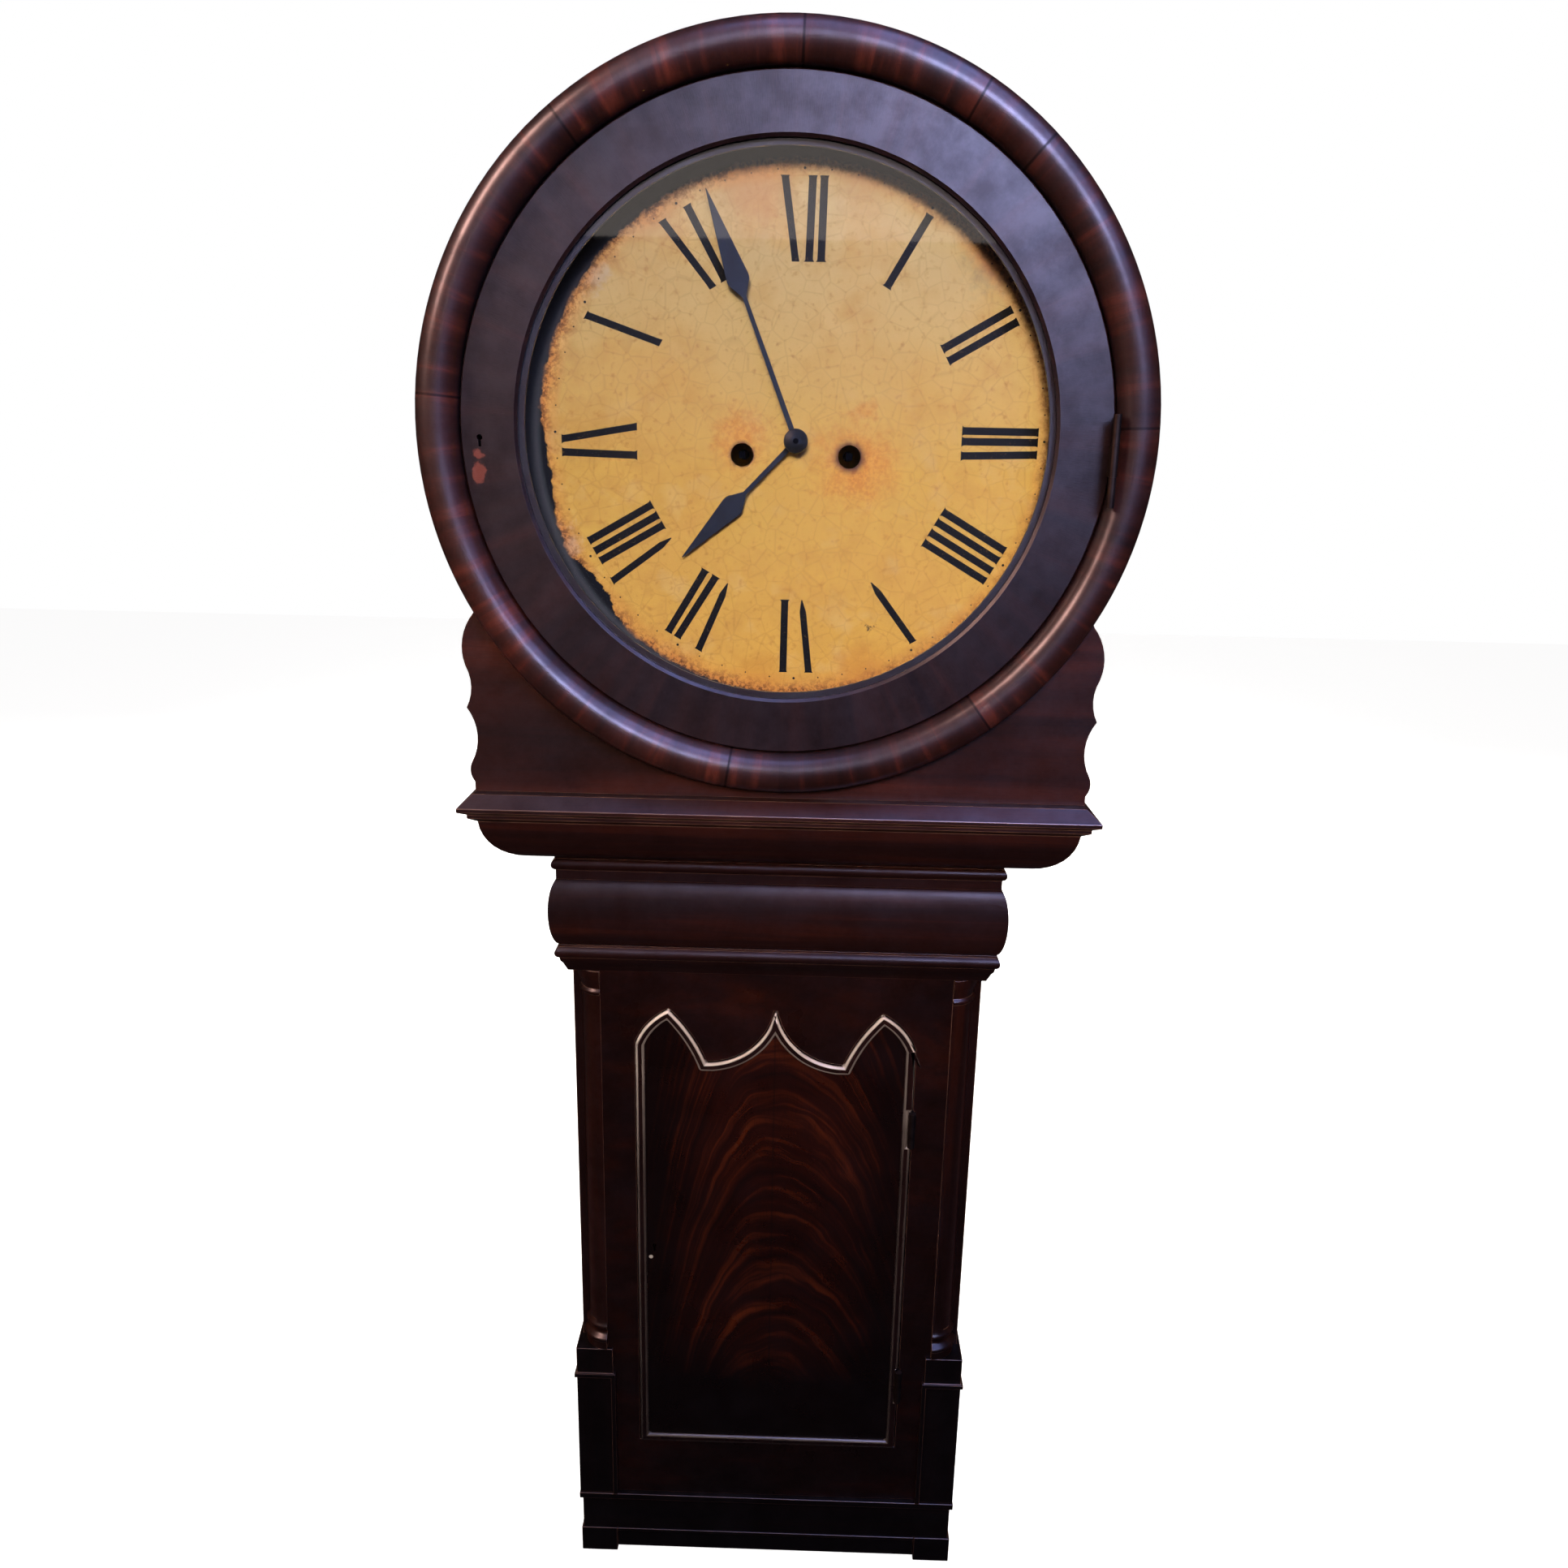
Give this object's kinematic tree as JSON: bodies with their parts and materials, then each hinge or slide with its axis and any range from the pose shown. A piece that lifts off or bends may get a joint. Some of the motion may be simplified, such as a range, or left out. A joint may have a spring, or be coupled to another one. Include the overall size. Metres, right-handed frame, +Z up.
{
  "type": "dial clock",
  "caption": "Weight-driven drum-head dial clock: round glazed dial door, shaped hood, slim trunk with a pointed door, two weights and a long pendulum.",
  "frame": {"origin": "bottom centre of the flat back, at floor level", "axes": "+X to the right seen from the front, +Y back into the wall, +Z up"},
  "size_m": [0.4999, 0.2618, 1.266],
  "materials": {
    "mahogany": "dark French-polished mahogany veneer",
    "flame_mahogany": "French-polished flame mahogany veneer",
    "mahogany_bead": "polished mahogany moulding",
    "pine": "old unpolished pine",
    "tarnished_brass": "tarnished",
    "movement_brass": "satin",
    "bell_metal": "satin",
    "steel": "satin",
    "blued_steel": "blued and darkened steel",
    "painted_dial": "aged cream dial paint",
    "glass": "clear",
    "cast_iron": "rough",
    "gut": "twisted gut"
  },
  "bodies": {
    "root": {"backboard": "pine", "trunk_sides": "mahogany", "trunk_front_frame": "mahogany", "quarter_columns": "mahogany", "pedestals": "mahogany", "base_box": "mahogany", "skirting_board": "mahogany", "feet": "mahogany", "bottom_board": "pine", "lower_throat_moulding": "mahogany", "cushion_moulding": "mahogany", "upper_throat_moulding": "mahogany", "cornice_moulding": "mahogany", "hood_front_board": "mahogany", "hood_sides": "mahogany", "drum_shell": "mahogany", "bezel_torus": "mahogany", "seatboard": "pine", "dial_hinge_frame_leaf": "tarnished_brass", "trunk_hinge_frame_leaves": "tarnished_brass", "back_plate": "movement_brass", "front_plate": "movement_brass", "plate_pillars": "movement_brass", "back_cock": "movement_brass", "dial_plate": "painted_dial", "bell": "bell_metal", "bell_stand": "steel"},
    "dial_door": {"dial_door_ring": "mahogany", "dial_door_bead": "mahogany_bead", "dial_glass": "glass", "dial_door_lock": "tarnished_brass", "dial_hinge_door_leaf": "tarnished_brass"},
    "dial_bolt": {"dial_door_bolt": "steel"},
    "trunk_door": {"trunk_door_panel": "flame_mahogany", "trunk_door_bead": "mahogany_bead", "trunk_door_lock": "tarnished_brass", "trunk_hinge_door_leaves": "tarnished_brass"},
    "trunk_bolt": {"trunk_door_bolt": "steel"},
    "centre": {"minute_hand": "blued_steel", "cannon_pinion": "steel", "centre_wheel": "movement_brass"},
    "hour": {"hour_wheel": "movement_brass", "hour_hand": "blued_steel"},
    "motion": {"minute_wheel": "movement_brass"},
    "great": {"great_wheel": "movement_brass"},
    "third": {"third_wheel": "movement_brass"},
    "escape": {"escape_wheel": "movement_brass"},
    "pallets": {"pallet_arbor": "steel"},
    "pendulum": {"pendulum_rod": "steel", "pendulum_bob": "movement_brass"},
    "nut": {"rating_nut": "movement_brass"},
    "going_drive": {"going_weight": "cast_iron", "going_line": "gut"},
    "going_sheave": {"going_pulley": "movement_brass"},
    "going_drum": {"going_barrel": "movement_brass"},
    "strike_drive": {"strike_weight": "cast_iron", "strike_line": "gut"},
    "strike_sheave": {"strike_pulley": "movement_brass"},
    "strike_drum": {"strike_barrel": "movement_brass"},
    "striker": {"hammer": "steel"}
  },
  "joints": [
    {"name": "dial_door_hinge", "type": "hinge", "parent": "root", "child": "dial_door", "pos_m": [0.218, -0.25925, 1.003], "axis": [0, 0, 1], "range_deg": [0, 100]},
    {"name": "dial_door_bolt_slide", "type": "slide", "parent": "dial_door", "child": "dial_bolt", "axis": [-1, 0, 0], "range_m": [0, 0.006]},
    {"name": "trunk_door_hinge", "type": "hinge", "parent": "root", "child": "trunk_door", "pos_m": [0.1164, -0.1885, 0.326], "axis": [0, 0, 1], "range_deg": [0, 110]},
    {"name": "trunk_door_bolt_slide", "type": "slide", "parent": "trunk_door", "child": "trunk_bolt", "axis": [-1, 0, 0], "range_m": [0, 0.008]},
    {"name": "minute_hand_turn", "type": "hinge", "parent": "root", "child": "centre", "pos_m": [0.0065, -0.1375, 1.012], "axis": [0, 1, 0], "continuous": true},
    {"name": "hour_hand_turn", "type": "hinge", "parent": "root", "child": "hour", "pos_m": [0.0065, -0.19, 1.012], "axis": [0, 1, 0], "continuous": true},
    {"name": "minute_wheel_turn", "type": "hinge", "parent": "root", "child": "motion", "pos_m": [0.0065, -0.175, 0.988], "axis": [0, 1, 0], "continuous": true},
    {"name": "great_wheel_turn", "type": "hinge", "parent": "root", "child": "great", "pos_m": [0.0445, -0.112, 1.002], "axis": [0, 1, 0], "continuous": true},
    {"name": "third_wheel_turn", "type": "hinge", "parent": "root", "child": "third", "pos_m": [0.01203, -0.1375, 1.04555], "axis": [0, 1, 0], "continuous": true},
    {"name": "escape_wheel_turn", "type": "hinge", "parent": "root", "child": "escape", "pos_m": [0.0065, -0.1375, 1.073], "axis": [0, 1, 0], "continuous": true},
    {"name": "pendulum_swing", "type": "hinge", "parent": "root", "child": "pendulum", "pos_m": [0.0065, -0.078, 1.097], "axis": [0, 1, 0], "range_deg": [-2.5, 2.5]},
    {"name": "pallet_rock", "type": "hinge", "parent": "root", "child": "pallets", "pos_m": [0.0065, -0.1375, 1.097], "axis": [0, 1, 0], "range_deg": [-2.5, 2.5]},
    {"name": "rating_nut_turn", "type": "hinge", "parent": "pendulum", "child": "nut", "pos_m": [0.0065, -0.078, 0.043], "axis": [0, 0, 1], "continuous": true},
    {"name": "going_weight_rise", "type": "slide", "parent": "root", "child": "going_drive", "axis": [0, 0, 1], "range_m": [0, 0.55], "deforming": ["going_line"]},
    {"name": "going_pulley_turn", "type": "hinge", "parent": "going_drive", "child": "going_sheave", "pos_m": [0.0445, -0.1375, 0.28], "axis": [0, 1, 0], "range_deg": [0, 1375]},
    {"name": "going_barrel_turn", "type": "hinge", "parent": "root", "child": "going_drum", "pos_m": [0.0445, -0.1375, 1.002], "axis": [0, 1, 0], "range_deg": [0, 2745]},
    {"name": "strike_weight_rise", "type": "slide", "parent": "root", "child": "strike_drive", "axis": [0, 0, 1], "range_m": [0, 0.55], "deforming": ["strike_line"]},
    {"name": "strike_pulley_turn", "type": "hinge", "parent": "strike_drive", "child": "strike_sheave", "pos_m": [-0.0315, -0.1375, 0.28], "axis": [0, 1, 0], "range_deg": [0, 1375]},
    {"name": "strike_barrel_turn", "type": "hinge", "parent": "root", "child": "strike_drum", "pos_m": [-0.0315, -0.1375, 1.002], "axis": [0, 1, 0], "range_deg": [0, 2745]},
    {"name": "hammer_lift", "type": "hinge", "parent": "root", "child": "striker", "pos_m": [0.064, -0.1345, 1.096], "axis": [0, 1, 0], "range_deg": [0, 14], "stiffness_Nm_per_rad": 0.03, "springref_deg": -11.46}
  ],
  "couplings": [
    {"joint": "hour_hand_turn", "follows": "minute_hand_turn", "ratio": 0.083333},
    {"joint": "minute_wheel_turn", "follows": "minute_hand_turn", "ratio": -0.33333},
    {"joint": "great_wheel_turn", "follows": "minute_hand_turn", "ratio": -0.083333},
    {"joint": "third_wheel_turn", "follows": "minute_hand_turn", "ratio": -7.5},
    {"joint": "escape_wheel_turn", "follows": "minute_hand_turn", "ratio": 60},
    {"joint": "pallet_rock", "follows": "pendulum_swing", "ratio": 1},
    {"joint": "going_pulley_turn", "follows": "going_weight_rise", "rad_per_m": 43.478},
    {"joint": "going_barrel_turn", "follows": "going_weight_rise", "rad_per_m": 86.957},
    {"joint": "strike_pulley_turn", "follows": "strike_weight_rise", "rad_per_m": 43.478},
    {"joint": "strike_barrel_turn", "follows": "strike_weight_rise", "rad_per_m": 86.957}
  ]
}
